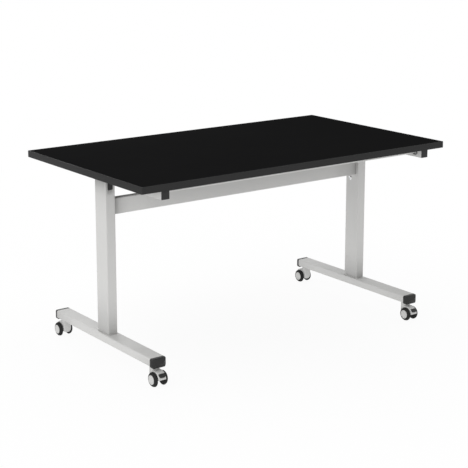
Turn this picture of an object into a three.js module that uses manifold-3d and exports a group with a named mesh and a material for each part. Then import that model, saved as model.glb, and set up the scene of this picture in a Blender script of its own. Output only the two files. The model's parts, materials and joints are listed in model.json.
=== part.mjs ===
// Flip top training table: a board on two T legs with twin-wheel castors. The board tilts up about
// hinge pins in the forked column heads once the release bar under its front edge is pulled.
// Millimetres, +Z up. The origin is on the floor under the middle of the board, +X runs along the
// board and -Y points to the front edge, where the release bar is.

import * as THREE from 'three';
import { mergeVertices } from 'three/addons/utils/BufferGeometryUtils.js';
import Module from 'manifold-3d';

// Driving dimensions
const TABLE_HEIGHT = 730;
const BOARD = { length: 1400, depth: 800, thickness: 25, edgeBand: 2, edgeRound: 1 };
const LEG_X = 604; // from the middle of the board to the middle of each leg
const CLEARANCE = 0.3; // between pieces that turn, slide or plug into each other

// T legs and the beam between them
const COLUMN = { width: 40, depth: 75, wall: 2, radius: 4 };
const FOOT = { width: 60, height: 30, length: 658, wall: 2, radius: 6, bottom: 73 };
const FOOT_CAP = { reach: 25, lip: 5, lipRadius: 9, corner: 5, bulge: 12.5, edge: 4, plug: 8 };
const BEAM = { depth: 30, height: 60, wall: 2, radius: 4, y: -8, bottom: 547 };

// Forked column head
const HEAD = { cheekTop: 696, cheekRound: 12, frontTop: 674, backTop: 634 };
const NOTCH = { width: 21.6, bottom: 643, radius: 2.5 };
const PIVOT = { y: 20, z: 652, radius: 6, headRadius: 9, headHeight: 4, boss: 10 };

// Rails under the board and the hinge arms that hang from them
const RAIL = { width: 31, height: 30, wall: 2, bend: 3, end: 391, tabY: -250, tabDrop: 9 };
const RAIL_CAP = { thickness: 4, round: 1.2, plug: 12 };
const ARM = { width: 24, eye: 12, foot: 6, neck: 16, front: -14, back: 54 };

// Release bar, pull rods, latch bolts and return springs
const RELEASE = { travel: 12, barY: -350, barRadius: 5, barEnd: 612, axisBelowBoard: 13 };
const BUSH = { wall: 1.6, flange: 3.2, flangeThickness: 1.5, inside: 1.2 };
const ROD = { radius: 3, eyeRadius: 8.5, eyeWidth: 8, end: -31 };
const COLLAR = { y: -200, radius: 7.5, thickness: 3 };
const BOLT = { width: 20.8, front: -37.5, back: -26.5, bottom: 644, top: 698, radius: 2 };
const SPRING = { turns: 7, coilRadius: 5.2, wireRadius: 0.8, endGap: 0.5 };

// Castors, each drawn with its stem on its own Z axis and its wheels trailing towards -Y
const CASTOR = { stemY: 310, trail: 24, axle: 26.5 };
const STEM = { radius: 5, top: 98, collarRadius: 13, collarBottom: 71.7, foot: 46 };
const HOOD = { radius: 30.5, halfWidth: 15.2, top: 57, bottom: 20, skirt: 8, chamfer: 1 };
const NECK = { front: -13, back: 9, halfWidth: 14.4, radius: 4 };
const HOOD_LIPS = { front: 174, back: -14 }; // degrees round the axle from +Y towards +Z
const AXLE = { radius: 4, end: 25.5 };
const WHEEL = { radius: 26.5, inner: 15.8, outer: 29, tyreBore: 17, web: 3, shoulder: 7, sides: 20 };
const PEDAL = { low: 20, high: 46, press: 11, halfWidth: 12.8, inner: 30.9, outer: 35.3 };
const PEDAL_ARM = { low: 31.5, high: 43, halfWidth: 3, hub: 6.5 };

// Finishes
const FINISH = {
  laminate: { color: 0x1a1a1a, roughness: 0.55, metalness: 0 },
  edging: { color: 0x2d2d2d, roughness: 0.5, metalness: 0 },
  silver: { color: 0xcfcfcd, roughness: 0.45, metalness: 0.2 },
  blackPlastic: { color: 0x2b2b2b, roughness: 0.5, metalness: 0 },
  greyPlastic: { color: 0xc4c4c2, roughness: 0.4, metalness: 0 },
  tyre: { color: 0x262626, roughness: 0.7, metalness: 0 },
  zinc: { color: 0xb9bcbf, roughness: 0.35, metalness: 0.9 },
};

// Heights that follow from the driving dimensions
const UNDERSIDE = TABLE_HEIGHT - BOARD.thickness;
const RAIL_BOTTOM = UNDERSIDE - RAIL.height;
const WEB_BOTTOM = UNDERSIDE - RAIL.wall;
const FOOT_TOP = FOOT.bottom + FOOT.height;
const RELEASE_Z = UNDERSIDE - RELEASE.axisBelowBoard;

const radians = THREE.MathUtils.degToRad;
const wasm = await Module();
wasm.setup();

// Solids: closed geometries joined, cut and intersected

function solidOf(geometry) {
  const bare = geometry.clone();
  bare.deleteAttribute('normal');
  bare.deleteAttribute('uv');
  const merged = mergeVertices(bare, 1e-4);
  const vertProperties = new Float32Array(merged.attributes.position.array);
  const triVerts = new Uint32Array(merged.index.array);
  return new wasm.Manifold(new wasm.Mesh({ numProp: 3, vertProperties, triVerts }));
}

function geometryOf(solid) {
  const mesh = solid.getMesh();
  const geometry = new THREE.BufferGeometry();
  geometry.setAttribute('position', new THREE.BufferAttribute(mesh.vertProperties, 3));
  geometry.setIndex(new THREE.BufferAttribute(mesh.triVerts, 1));
  const faceted = geometry.toNonIndexed();
  faceted.computeVertexNormals();
  return faceted;
}

function combine(operation, first, others) {
  const start = solidOf(first);
  return geometryOf(others.reduce((solid, other) => solid[operation](solidOf(other)), start));
}

const join = (first, ...others) => combine('add', first, others);
const cut = (first, ...tools) => combine('subtract', first, tools);
const common = (first, ...others) => combine('intersect', first, others);

// Basic forms

function box(x, y, z) {
  const block = new THREE.BoxGeometry(x[1] - x[0], y[1] - y[0], z[1] - z[0]);
  return block.translate((x[0] + x[1]) / 2, (y[0] + y[1]) / 2, (z[0] + z[1]) / 2);
}

// A prism of a flat outline, standing along Z from z = 0
function prism(shape, depth, curveSegments = 2, chamfer = 0) {
  const options = {
    depth: depth - 2 * chamfer,
    steps: 1,
    curveSegments,
    bevelEnabled: chamfer > 0,
    bevelSegments: 1,
    bevelThickness: chamfer,
    bevelSize: chamfer,
    bevelOffset: -chamfer,
  };
  return new THREE.ExtrudeGeometry(shape, options).translate(0, 0, chamfer);
}

// Outline (x, y) becomes (X, Z), and the prism runs along Y from one end to the other
function alongY(shape, from, to, curveSegments = 2, chamfer = 0) {
  return prism(shape, to - from, curveSegments, chamfer).rotateX(Math.PI / 2).translate(0, to, 0);
}

// Outline (x, y) becomes (Y, Z), and the prism runs along X
function alongX(shape, from, to, curveSegments = 2, chamfer = 0) {
  const ends = [Math.min(from, to), Math.max(from, to)];
  const turn = new THREE.Matrix4().makeBasis(
    new THREE.Vector3(0, 1, 0), new THREE.Vector3(0, 0, 1), new THREE.Vector3(1, 0, 0));
  return prism(shape, ends[1] - ends[0], curveSegments, chamfer).applyMatrix4(turn).translate(ends[0], 0, 0);
}

function rodX(radius, from, to, y, z, sides = 14) {
  const rod = new THREE.CylinderGeometry(radius, radius, Math.abs(to - from), sides);
  return rod.rotateZ(Math.PI / 2).translate((from + to) / 2, y, z);
}

function rodY(radius, from, to, x, z, sides = 12) {
  return new THREE.CylinderGeometry(radius, radius, to - from, sides).translate(x, (from + to) / 2, z);
}

function rodZ(radius, from, to, y = 0, sides = 12) {
  const rod = new THREE.CylinderGeometry(radius, radius, to - from, sides);
  return rod.rotateX(Math.PI / 2).translate(0, y, (from + to) / 2);
}

// Revolved along X: each point of the outline is [radius, x]
function turnedX(outline, sides, phase = 0) {
  const points = outline.map(([radius, x]) => new THREE.Vector2(radius, x));
  return new THREE.LatheGeometry(points, sides, phase).rotateZ(-Math.PI / 2);
}

// Rectangle round (x, y) whose corners have their own radii: [top, bottom]
function roundedRect(width, height, radii, x = 0, y = 0) {
  const [top, bottom] = Array.isArray(radii) ? radii : [radii, radii];
  const [w, h] = [width / 2, height / 2];
  const shape = new THREE.Shape();
  shape.absarc(x + w - top, y + h - top, top, 0, Math.PI / 2);
  shape.absarc(x - w + top, y + h - top, top, Math.PI / 2, Math.PI);
  shape.absarc(x - w + bottom, y - h + bottom, bottom, Math.PI, 1.5 * Math.PI);
  shape.absarc(x + w - bottom, y - h + bottom, bottom, 1.5 * Math.PI, 2 * Math.PI);
  return shape;
}

function tubeSection(width, height, radius, wall, x = 0, y = 0) {
  const section = roundedRect(width, height, radius, x, y);
  section.holes.push(roundedRect(width - 2 * wall, height - 2 * wall, radius - wall, x, y));
  return section;
}

// Ring sector round (x, y), from one angle to another in radians
function ringSector(inner, outer, from, to, x = 0, y = 0) {
  const shape = new THREE.Shape();
  shape.absarc(x, y, outer, from, to, false);
  shape.absarc(x, y, inner, to, from, true);
  return shape;
}

// Slot with round ends, lying along its own x between two centres
function slotOutline(from, to, y, radius) {
  const shape = new THREE.Shape();
  shape.absarc(to, y, radius, -Math.PI / 2, Math.PI / 2);
  shape.absarc(from, y, radius, Math.PI / 2, 1.5 * Math.PI);
  return shape;
}

// Board

function boardCore() {
  const [x, y] = [BOARD.length / 2 - BOARD.edgeBand, BOARD.depth / 2 - BOARD.edgeBand];
  return box([-x, x], [-y, y], [UNDERSIDE, TABLE_HEIGHT]);
}

// Plastic edging: a softened slab with the board's own block taken out of it
function edgeBand() {
  const outline = roundedRect(BOARD.length, BOARD.depth, BOARD.edgeRound);
  const slab = prism(outline, BOARD.thickness, 1, BOARD.edgeRound);
  const [x, y] = [BOARD.length / 2 - BOARD.edgeBand, BOARD.depth / 2 - BOARD.edgeBand];
  const opening = box([-x, x], [-y, y], [-1, BOARD.thickness + 1]);
  return cut(slab, opening).translate(0, 0, UNDERSIDE);
}

// Rails. The inner side of a leg is +1 on the left leg and -1 on the right one.

function channelSection() {
  const half = RAIL.width / 2;
  const inside = half - RAIL.wall;
  const innerBend = RAIL.bend - RAIL.wall;
  const shape = new THREE.Shape();
  shape.moveTo(half, RAIL_BOTTOM);
  shape.absarc(half - RAIL.bend, UNDERSIDE - RAIL.bend, RAIL.bend, 0, Math.PI / 2);
  shape.absarc(-half + RAIL.bend, UNDERSIDE - RAIL.bend, RAIL.bend, Math.PI / 2, Math.PI);
  shape.lineTo(-half, RAIL_BOTTOM);
  shape.lineTo(-inside, RAIL_BOTTOM);
  shape.absarc(-inside + innerBend, WEB_BOTTOM - innerBend, innerBend, Math.PI, Math.PI / 2, true);
  shape.absarc(inside - innerBend, WEB_BOTTOM - innerBend, innerBend, Math.PI / 2, 0, true);
  shape.lineTo(inside, RAIL_BOTTOM);
  return shape;
}

// Channel with a slot for the release bar and a tab that guides the pull rod and holds its spring
function rail(inner) {
  const half = RAIL.width / 2;
  const channel = alongY(channelSection(), -RAIL.end, RAIL.end);
  const tabHeights = [RELEASE_Z - RAIL.tabDrop, UNDERSIDE - 1];
  const tab = box([-half + 1, half - 1], [RAIL.tabY - 1, RAIL.tabY + 1], tabHeights);
  const guide = rodY(ROD.radius + CLEARANCE + 0.2, RAIL.tabY - 5, RAIL.tabY + 5, 0, RELEASE_Z);
  const slot = alongX(barSlot(BUSH_RADIUS + CLEARANCE), inner * (half - 5), inner * (half + 5), 3);
  return cut(join(channel, tab), guide, slot);
}

const BUSH_RADIUS = RELEASE.barRadius + CLEARANCE + BUSH.wall;

// Outline of the room that the release bar sweeps, with a given radius round its axis
const barSlot = (radius) => slotOutline(RELEASE.barY - RELEASE.travel, RELEASE.barY, RELEASE_Z, radius);

// Slotted bush that lines the slot, with a flange on the outside of the rail wall
function barBush(inner) {
  const half = RAIL.width / 2;
  const face = half + BUSH.flangeThickness;
  const tail = half - RAIL.wall - BUSH.inside;
  const sleeve = alongX(barSlot(BUSH_RADIUS), inner * tail, inner * (half + 1), 3);
  const flange = alongX(barSlot(RELEASE.barRadius + BUSH.flange), inner * half, inner * face, 3);
  const opening = alongX(barSlot(RELEASE.barRadius + CLEARANCE), inner * (tail - 5), inner * (face + 5), 3);
  return cut(join(sleeve, flange), opening);
}

function railCap(end) {
  const middle = (RAIL_BOTTOM + UNDERSIDE) / 2;
  const face = roundedRect(RAIL.width, RAIL.height, 2, 0, middle);
  const outer = end * (RAIL.end + RAIL_CAP.thickness);
  const seat = end * RAIL.end;
  const plate = alongY(face, Math.min(seat, outer), Math.max(seat, outer), 1, RAIL_CAP.round);
  const half = RAIL.width / 2 - RAIL.wall - CLEARANCE;
  const tip = end * (RAIL.end - RAIL_CAP.plug);
  const root = end * (RAIL.end + RAIL_CAP.thickness / 2);
  const depth = [Math.min(tip, root), Math.max(tip, root)];
  return join(plate, box([-half, half], depth, [RAIL_BOTTOM + 3, WEB_BOTTOM - 1.2]));
}

// Hinge arm: an eye on the pivot, a tapering neck and a foot against the inside of the rail's web
function hingeArm(inner) {
  const { y, z } = PIVOT;
  const footBottom = WEB_BOTTOM - ARM.foot;
  const shape = new THREE.Shape();
  shape.moveTo(ARM.front, WEB_BOTTOM);
  shape.lineTo(ARM.front, footBottom);
  shape.lineTo(y - ARM.neck, footBottom);
  shape.absarc(y, z, ARM.eye, Math.PI, 2 * Math.PI);
  shape.lineTo(y + ARM.neck, footBottom);
  shape.lineTo(ARM.back, footBottom);
  shape.lineTo(ARM.back, WEB_BOTTOM);
  const arm = alongX(shape, -ARM.width / 2, ARM.width / 2, 4);
  const cheek = COLUMN.width / 2 - COLUMN.wall;
  const spacer = rodX(ARM.eye - 1, 0, inner * (cheek - CLEARANCE), y, z);
  return cut(join(arm, spacer), rodX(PIVOT.radius + CLEARANCE, -cheek, cheek, y, z));
}

// Release gear

function releaseBar() {
  return rodX(RELEASE.barRadius, -RELEASE.barEnd, RELEASE.barEnd, RELEASE.barY, RELEASE_Z);
}

// Pull rod: an eye round the release bar, and a collar that the return spring pushes on
function pullRod() {
  const eye = rodX(ROD.eyeRadius, -ROD.eyeWidth / 2, ROD.eyeWidth / 2, RELEASE.barY, RELEASE_Z);
  const hole = rodX(RELEASE.barRadius + CLEARANCE, -ROD.eyeWidth, ROD.eyeWidth, RELEASE.barY, RELEASE_Z);
  const shank = rodY(ROD.radius, RELEASE.barY + ROD.eyeRadius - 1.5, ROD.end, 0, RELEASE_Z, 10);
  const collar = rodY(COLLAR.radius, COLLAR.y, COLLAR.y + COLLAR.thickness, 0, RELEASE_Z);
  return join(cut(eye, hole), shank, collar);
}

// Latch bolt that stands in the notch of the column head, with a socket for the pull rod
function latchBolt() {
  const height = BOLT.top - BOLT.bottom;
  const outline = roundedRect(BOLT.width, height, BOLT.radius, 0, (BOLT.top + BOLT.bottom) / 2);
  const block = alongY(outline, BOLT.front, BOLT.back, 1);
  return cut(block, rodY(ROD.radius + CLEARANCE, BOLT.front - 1, ROD.end + CLEARANCE, 0, RELEASE_Z));
}

class Helix extends THREE.Curve {
  constructor(radius, turns, from, to, height) {
    super();
    Object.assign(this, { radius, turns, from, to, height });
  }

  getPoint(t, target = new THREE.Vector3()) {
    const angle = 2 * Math.PI * this.turns * t;
    const y = THREE.MathUtils.lerp(this.from, this.to, t);
    return target.set(this.radius * Math.cos(angle), y, this.height + this.radius * Math.sin(angle));
  }
}

// Coil spring between the rail's tab and the pull rod's collar
function springPath() {
  const from = RAIL.tabY + 1 + SPRING.endGap + SPRING.wireRadius;
  const to = COLLAR.y - SPRING.endGap - SPRING.wireRadius;
  return new Helix(SPRING.coilRadius, SPRING.turns, from, to, RELEASE_Z);
}

function returnSpring() {
  const wire = new THREE.Shape();
  wire.absarc(0, 0, SPRING.wireRadius, 0, 2 * Math.PI);
  const sides = new THREE.Shape(wire.getPoints(5).filter((_, i) => i % 2 === 0));
  const options = { steps: 8 * SPRING.turns, extrudePath: springPath(), bevelEnabled: false };
  return new THREE.ExtrudeGeometry(sides, options);
}

// Least gap between neighbouring coils, measured on points along the wire
function leastCoilGap() {
  const perTurn = 24;
  const points = springPath().getPoints(perTurn * SPRING.turns);
  const gaps = points.slice(perTurn / 2).map((point, i) =>
    Math.min(...points.slice(0, i + 1).map((earlier) => earlier.distanceTo(point))));
  return Math.min(...gaps) - 2 * SPRING.wireRadius;
}

// Legs

// Column: a rectangular tube whose head is a fork, notched in front for the latch bolt and open
// behind for the hinge arm. The hinge pin enters from the inner cheek and ends in a blind boss.
function column(inner) {
  const cheek = COLUMN.width / 2 - COLUMN.wall;
  const half = COLUMN.depth / 2;
  const above = HEAD.cheekTop + 5;
  const height = HEAD.cheekTop - FOOT_TOP;
  const section = tubeSection(COLUMN.width, COLUMN.depth, COLUMN.radius, COLUMN.wall);
  const tube = prism(section, height, 1);
  const side = new THREE.Shape();
  side.moveTo(-half, FOOT_TOP);
  side.lineTo(half, FOOT_TOP);
  const round = HEAD.cheekRound;
  side.absarc(half - round, HEAD.cheekTop - round, round, 0, Math.PI / 2);
  side.absarc(round - half, HEAD.cheekTop - round, round, Math.PI / 2, Math.PI);
  const forked = common(tube.translate(0, 0, FOOT_TOP), alongX(side, -COLUMN.width, COLUMN.width, 2));
  const notchHeight = above - NOTCH.bottom;
  const notch = roundedRect(NOTCH.width, notchHeight, NOTCH.radius, 0, NOTCH.bottom + notchHeight / 2);
  const bossFace = ARM.width / 2 + CLEARANCE;
  const boss = rodX(PIVOT.boss, -inner * (cheek + 1), -inner * bossFace, PIVOT.y, PIVOT.z);
  return cut(join(forked, boss),
    box([-cheek, cheek], [-half - 1, -half / 2], [HEAD.frontTop, above]),
    box([-cheek, cheek], [PIVOT.y + PIVOT.boss + 1, half + 1], [HEAD.backTop, above]),
    alongY(notch, -half - 1, -half + COLUMN.wall + 1, 1),
    rodX(PIVOT.radius + CLEARANCE, -inner * cheek, inner * (cheek + 5), PIVOT.y, PIVOT.z));
}

// Hinge pin with a low domed head against the inner cheek
function hingePin(inner) {
  const cheekFace = COLUMN.width / 2;
  const tip = cheekFace - COLUMN.wall - CLEARANCE;
  const { radius, headRadius, headHeight } = PIVOT;
  const outline = [
    [0, -tip], [radius - 1, -tip], [radius, -tip + 1], [radius, cheekFace], [headRadius, cheekFace],
    [headRadius, cheekFace + headHeight / 2], [headRadius * 0.7, cheekFace + headHeight * 0.9],
    [0, cheekFace + headHeight],
  ];
  const pin = turnedX(outline, 14);
  return (inner > 0 ? pin : pin.rotateZ(Math.PI)).translate(0, PIVOT.y, PIVOT.z);
}

function foot() {
  const middle = FOOT.bottom + FOOT.height / 2;
  const half = FOOT.length / 2;
  const section = tubeSection(FOOT.width, FOOT.height, FOOT.radius, FOOT.wall, 0, middle);
  const tube = alongY(section, -half, half, 2);
  const holes = [-1, 1].map((end) =>
    rodZ(STEM.radius + CLEARANCE, FOOT.bottom - 5, FOOT.bottom + FOOT.wall + 5, end * CASTOR.stemY));
  return cut(tube, ...holes);
}

// Plan of a foot cap: slightly bulging between two rounded corners
function capPlan(half, tip) {
  const { corner, bulge } = FOOT_CAP;
  const side = FOOT.width / 2;
  const shape = new THREE.Shape();
  shape.moveTo(-side, half);
  shape.lineTo(side, half);
  shape.lineTo(side, tip - bulge - corner);
  shape.quadraticCurveTo(side, tip - bulge, side - corner, tip - bulge + 0.4);
  shape.quadraticCurveTo(0, tip + bulge - 0.4, corner - side, tip - bulge + 0.4);
  shape.quadraticCurveTo(-side, tip - bulge, -side, tip - bulge - corner);
  return shape;
}

// Foot cap: the tube's own section with a low lip under it, bulging and softened at its edges
function footCap(end) {
  const half = FOOT.length / 2;
  const tip = half + FOOT_CAP.reach;
  const height = FOOT.height + FOOT_CAP.lip;
  const middle = FOOT_TOP - height / 2;
  const face = roundedRect(FOOT.width, height, [FOOT.radius, FOOT_CAP.lipRadius], 0, middle);
  const bulge = prism(capPlan(half, tip), height + 20, 3).translate(0, 0, middle - height / 2 - 10);
  const side = roundedRect(4 * FOOT_CAP.reach, height, FOOT_CAP.edge, tip - 2 * FOOT_CAP.reach, middle);
  const shell = common(alongY(face, half, tip + 1, 2), bulge, alongX(side, -FOOT.width, FOOT.width, 1));
  const gap = FOOT.wall + CLEARANCE;
  const [width, tall] = [FOOT.width - 2 * gap, FOOT.height - 2 * gap];
  const plug = roundedRect(width, tall, FOOT.radius - gap, 0, FOOT_TOP - FOOT.height / 2);
  const cap = join(shell, alongY(plug, half - FOOT_CAP.plug, half + 2, 1));
  return end < 0 ? cap.rotateZ(Math.PI) : cap;
}

function crossBeam() {
  const reach = LEG_X - COLUMN.width / 2;
  const middle = BEAM.bottom + BEAM.height / 2;
  const section = tubeSection(BEAM.depth, BEAM.height, BEAM.radius, BEAM.wall, BEAM.y, middle);
  return alongX(section, -reach, reach);
}

// Castors

const roundAxle = (radius, degrees) => [
  -CASTOR.trail + radius * Math.cos(radians(degrees)),
  CASTOR.axle + radius * Math.sin(radians(degrees)),
];

// Stem: a pin in the foot and in the hood, with the collar that the foot rests on
function castorStem() {
  const { radius, top, collarRadius, collarBottom, foot: low } = STEM;
  const outline = [
    [0, low], [radius, low], [radius, collarBottom], [collarRadius, collarBottom],
    [collarRadius, FOOT.bottom], [radius, FOOT.bottom], [radius, top], [0, top],
  ];
  const points = outline.map(([r, z]) => new THREE.Vector2(r, z));
  return new THREE.LatheGeometry(points, 14).rotateX(Math.PI / 2);
}

// Side view of the hood: round in front, with a back that runs up into the neck
function hoodOutline() {
  const back = NECK.back;
  const [lipY, lipZ] = roundAxle(HOOD.radius, HOOD_LIPS.back);
  const shape = new THREE.Shape();
  shape.moveTo(lipY, lipZ);
  shape.quadraticCurveTo(back, lipZ + 9, back, HOOD.top - 16);
  shape.lineTo(back, HOOD.top);
  shape.absarc(-CASTOR.trail, CASTOR.axle, HOOD.radius, Math.PI / 2, radians(HOOD_LIPS.front));
  shape.quadraticCurveTo(-CASTOR.trail - 14, HOOD.bottom + 3, -CASTOR.trail, HOOD.bottom);
  shape.quadraticCurveTo(-CASTOR.trail + 16, HOOD.bottom - 3, lipY, lipZ);
  return shape;
}

// Neck between the hood and the foot
function castorNeck() {
  const { front, back, halfWidth, radius } = NECK;
  const plan = roundedRect(2 * halfWidth, back - front, radius, 0, (front + back) / 2);
  const from = HOOD.top - 6;
  return prism(plan, STEM.collarBottom - CLEARANCE - from).translate(0, 0, from);
}

// Outline from behind, which rounds the lower corners of the hood
function hoodSkirt() {
  const height = 100;
  const middle = HOOD.bottom - 1.5 + height / 2;
  const outline = roundedRect(2 * HOOD.halfWidth, height, [1, HOOD.skirt], 0, middle);
  return alongY(outline, -100, 100);
}

// The pedal's angles are counted upwards from the front, so they turn round to the hood's own
const fromFront = (degrees) => radians(180 - degrees);

// Hood: a body between the wheels that holds the axle, with a neck round the stem
function castorHood(braked) {
  const { halfWidth } = HOOD;
  const shell = alongX(hoodOutline(), -halfWidth, halfWidth, 4, HOOD.chamfer);
  const body = common(join(shell, castorNeck()), hoodSkirt());
  const cuts = [
    rodZ(STEM.radius + CLEARANCE, STEM.foot - 0.5, STEM.collarBottom + 5),
    rodX(AXLE.radius + 0.2, -halfWidth - 1, halfWidth + 1, -CASTOR.trail, CASTOR.axle, 12),
  ];
  if (braked) cuts.push(...pedalRoom());
  return cut(body, ...cuts);
}

// Slot in the hood where the pedal's arm rocks
function pedalRoom() {
  const low = fromFront(PEDAL_ARM.low - PEDAL.press - 0.8);
  const high = fromFront(PEDAL_ARM.high + 2);
  const [y, z] = [-CASTOR.trail, CASTOR.axle];
  const slot = ringSector(AXLE.radius - 1, HOOD.radius + 2, high, low, y, z);
  const arm = PEDAL_ARM.halfWidth + CLEARANCE;
  return [alongX(slot, -arm, arm, 3), rodX(PEDAL_ARM.hub + 0.5, -arm, arm, y, z)];
}

// Front view of the pedal's pad, with its lower corners well rounded
function padOutline() {
  const [, bottom] = roundAxle(PEDAL.inner, PEDAL.low);
  const [, top] = roundAxle(PEDAL.outer, PEDAL.high);
  return roundedRect(2 * PEDAL.halfWidth, top - bottom + 1, [2, 8], 0, (top + bottom) / 2);
}

// Brake pedal: a pad just over the hood on an arm that rocks about the axle
function brakePedal() {
  const [y, z] = [-CASTOR.trail, CASTOR.axle];
  const [low, high] = [fromFront(PEDAL.low), fromFront(PEDAL.high)];
  const pad = ringSector(PEDAL.inner, PEDAL.outer, high, low, y, z);
  const armEnds = [fromFront(PEDAL_ARM.high), fromFront(PEDAL_ARM.low)];
  const arm = ringSector(AXLE.radius + 1, PEDAL.inner + 1, ...armEnds, y, z);
  const half = PEDAL_ARM.halfWidth;
  const hub = rodX(PEDAL_ARM.hub, -half, half, y, z);
  const curved = alongX(pad, -PEDAL.halfWidth, PEDAL.halfWidth, 3, 1);
  const rounded = common(curved, alongY(padOutline(), -100, 0, 3));
  return cut(
    join(rounded, alongX(arm, -half, half, 2), hub),
    rodX(AXLE.radius + CLEARANCE, -HOOD.halfWidth, HOOD.halfWidth, y, z));
}

function castorAxle() {
  return rodX(AXLE.radius, -AXLE.end, AXLE.end, -CASTOR.trail, CASTOR.axle, 12);
}

// Tyre and hub of a wheel on the +X side, with a flat of the rolling face under the axle
const flatRadius = (radius) => radius / Math.cos(Math.PI / WHEEL.sides);

function wheelPiece(outline, side) {
  const half = Math.PI / WHEEL.sides;
  const piece = turnedX(outline, WHEEL.sides, half);
  return (side > 0 ? piece : piece.rotateZ(Math.PI)).translate(0, -CASTOR.trail, CASTOR.axle);
}

// Tyre: a tread with a round outer shoulder, and a web that covers the inside of the wheel
function tyre(side) {
  const { inner, outer, tyreBore, web, shoulder } = WHEEL;
  const full = flatRadius(WHEEL.radius);
  const bore = AXLE.radius + CLEARANCE;
  const outline = [
    [bore, inner], [full - 2, inner + 0.6], [full, inner + 2.2],
    [full, outer - shoulder - 0.5], [full - 1.2, outer - 0.72 * shoulder],
    [full - 4.6, outer - 0.28 * shoulder], [tyreBore, outer - 0.8],
    [tyreBore, inner + web], [bore, inner + web], [bore, inner],
  ];
  return wheelPiece(outline, side);
}

// Hub: a low domed disc with a raised rim outside the web, and a blind bore for the axle
function hub(side) {
  const { inner, outer, tyreBore, web } = WHEEL;
  const rim = tyreBore - 0.1;
  const bore = AXLE.radius + CLEARANCE;
  const seat = inner + web + 0.1;
  const outline = [
    [0, AXLE.end + 0.5], [bore, AXLE.end + 0.5], [bore, seat], [rim, seat], [rim, outer - 0.6],
    [rim - 1.2, outer + 0.3], [rim - 3, outer + 0.5], [rim - 4, outer - 0.5], [0, outer + 0.4],
  ];
  return wheelPiece(outline, side);
}

// Assembly

const table = new THREE.Group();

function add(group, name, geometry, finish) {
  const mesh = new THREE.Mesh(geometry, new THREE.MeshStandardMaterial(FINISH[finish]));
  mesh.name = name;
  group.add(mesh);
}

function addLeg(name, side) {
  const inner = -side;
  const leg = new THREE.Group();
  leg.position.x = side * LEG_X;
  add(leg, `${name}_rail`, rail(inner), 'silver');
  add(leg, `${name}_rail_front_cap`, railCap(-1), 'blackPlastic');
  add(leg, `${name}_rail_rear_cap`, railCap(1), 'blackPlastic');
  add(leg, `${name}_hinge_arm`, hingeArm(inner), 'zinc');
  add(leg, `${name}_bar_bush`, barBush(inner), 'blackPlastic');
  add(leg, `${name}_pull_rod`, pullRod(), 'zinc');
  add(leg, `${name}_latch_bolt`, latchBolt(), 'blackPlastic');
  add(leg, `${name}_return_spring`, returnSpring(), 'zinc');
  add(leg, `${name}_column`, column(inner), 'silver');
  add(leg, `${name}_hinge_pin`, hingePin(inner), 'zinc');
  add(leg, `${name}_foot`, foot(), 'silver');
  add(leg, `${name}_foot_front_cap`, footCap(-1), 'blackPlastic');
  add(leg, `${name}_foot_rear_cap`, footCap(1), 'blackPlastic');
  table.add(leg);
}

function addCastor(name, x, y) {
  const front = y < 0;
  const castor = new THREE.Group();
  castor.position.set(x, y, 0);
  castor.rotation.z = front ? 0 : Math.PI;
  add(castor, `${name}_castor_stem`, castorStem(), 'zinc');
  add(castor, `${name}_castor_hood`, castorHood(front), 'greyPlastic');
  add(castor, `${name}_castor_axle`, castorAxle(), 'zinc');
  for (const side of [-1, 1]) {
    const worldSide = front ? side : -side;
    const place = worldSide * x > 0 ? 'outer' : 'inner';
    add(castor, `${name}_${place}_tyre`, tyre(side), 'tyre');
    add(castor, `${name}_${place}_hub`, hub(side), 'greyPlastic');
  }
  if (front) add(castor, `${name}_brake_pedal`, brakePedal(), 'blackPlastic');
  table.add(castor);
}

add(table, 'table_top', boardCore(), 'laminate');
add(table, 'edge_band', edgeBand(), 'edging');
add(table, 'release_bar', releaseBar(), 'silver');
add(table, 'cross_beam', crossBeam(), 'silver');
for (const [name, side] of [['left', -1], ['right', 1]]) {
  addLeg(name, side);
  addCastor(`front_${name}`, side * LEG_X, -CASTOR.stemY);
  addCastor(`rear_${name}`, side * LEG_X, CASTOR.stemY);
}
console.log(`least gap between spring coils: ${leastCoilGap().toFixed(2)} mm`);

export default table;
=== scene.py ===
"""Flip top training table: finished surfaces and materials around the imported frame.

Everything is in metres with +Z up. The origin is on the floor under the middle of the board, +X runs
along the board, and -Y points to the front edge with the release bar.
"""

import json
import logging
from dataclasses import dataclass, field
from enum import Enum
from typing import Any, Callable, Iterable, Sequence, Union

import bmesh
import bpy
import numpy as np
from mathutils import Matrix, Vector

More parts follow.
